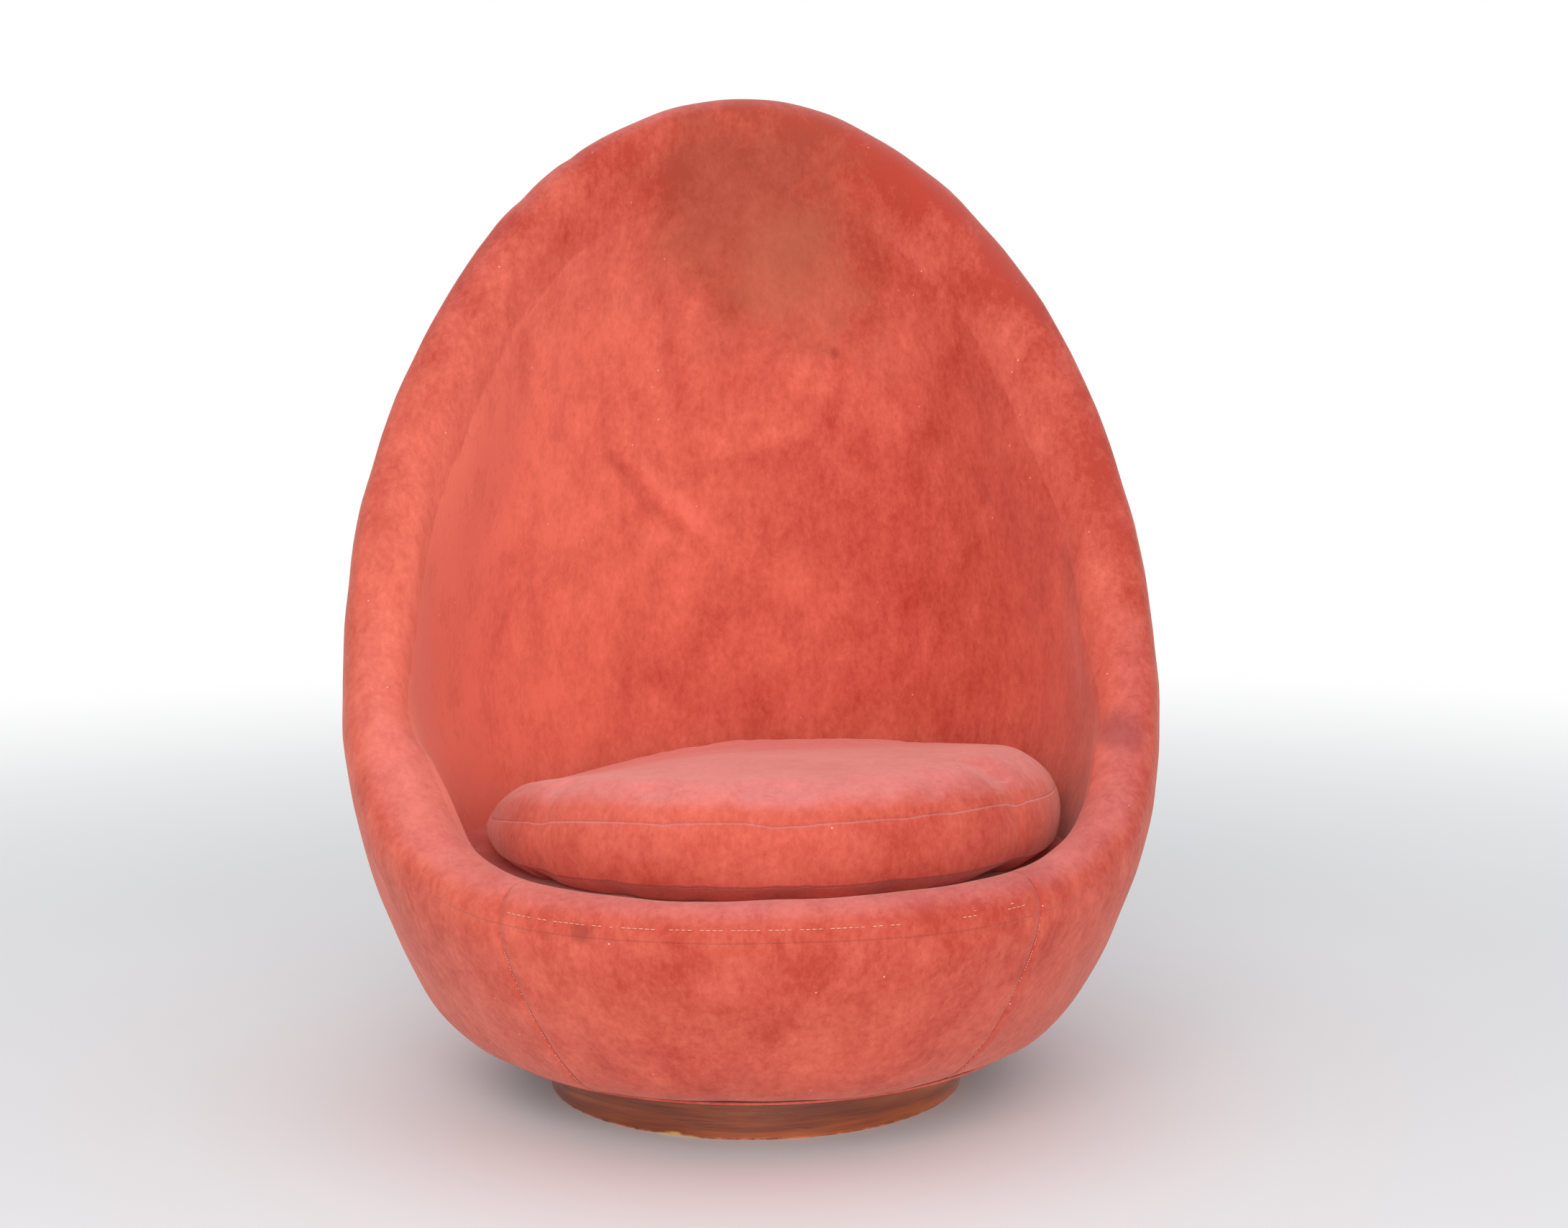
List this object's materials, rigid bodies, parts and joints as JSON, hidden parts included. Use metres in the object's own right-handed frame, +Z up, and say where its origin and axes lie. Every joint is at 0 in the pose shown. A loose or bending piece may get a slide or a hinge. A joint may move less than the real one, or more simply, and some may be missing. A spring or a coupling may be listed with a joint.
{
  "type": "swivel egg chair",
  "caption": "Egg-shaped upholstered swivel lounge chair: a padded wraparound bucket with a loose boxed seat cushion, turning on a ball-bearing swivel over a low round wooden plinth.",
  "frame": {"origin": "on the floor, on the swivel's axis, which is the middle of the plinth", "axes": "the seat faces -Y, +X is to the right of someone who looks at the chair's front, +Z is up"},
  "size_m": [0.8436, 0.7949, 1.055],
  "materials": {
    "walnut": "satin lacquered walnut veneer, worn along the edges",
    "plywood": "bare birch plywood",
    "zinc_steel": "zinc plated steel",
    "polished_steel": "ground and polished steel",
    "black_cloth": "thin black lining cloth",
    "webbing": "woven elastic webbing and zip tape",
    "board": "stiffened fibre backing",
    "padding": "upholstery foam",
    "velvet": "coral cotton velvet with a crushed, soiled nap",
    "zip_brass": "brass zip slider"
  },
  "bodies": {
    "base": {"plinth_hoop": "walnut", "plinth_top_board": "plywood", "plinth_glue_blocks": "plywood", "plinth_block_screws": "zinc_steel", "swivel_lower_plate": "zinc_steel", "swivel_lower_screws": "zinc_steel", "swivel_balls": "polished_steel", "swivel_ball_cage": "zinc_steel", "king_pin": "polished_steel", "king_pin_washer": "zinc_steel", "king_pin_clip": "zinc_steel"},
    "seat": {"swivel_upper_plate": "zinc_steel", "swivel_upper_bolts": "zinc_steel", "swivel_tee_nuts": "zinc_steel", "base_board": "plywood", "cover_hem": "velvet", "dust_cover": "black_cloth", "rib_foot_blocks": "plywood", "frame_ribs": "plywood", "rim_hoop": "plywood", "seat_ring": "plywood", "seat_straps_long": "webbing", "seat_straps_cross": "webbing", "back_straps": "webbing", "outside_backing": "board", "outside_padding": "padding", "inside_foam": "padding", "deck_pad": "padding", "deck_cloth": "black_cloth", "outside_cover": "velvet", "inside_cover": "velvet", "front_panel": "velvet", "front_lip": "velvet"},
    "cushion": {"cushion_foam": "padding", "cushion_top_panel": "velvet", "cushion_boxing": "velvet", "cushion_bottom_panel": "velvet", "cushion_zip_tape": "webbing", "cushion_zip_slider": "zip_brass"}
  },
  "joints": [
    {"name": "swivel", "type": "hinge", "parent": "base", "child": "seat", "pos_m": [0, 0, 0.048], "axis": [0, 0, 1], "continuous": true},
    {"name": "cushion_lift", "type": "slide", "parent": "seat", "child": "cushion", "axis": [0, 0, 1], "range_m": [0, 0.25]}
  ]
}
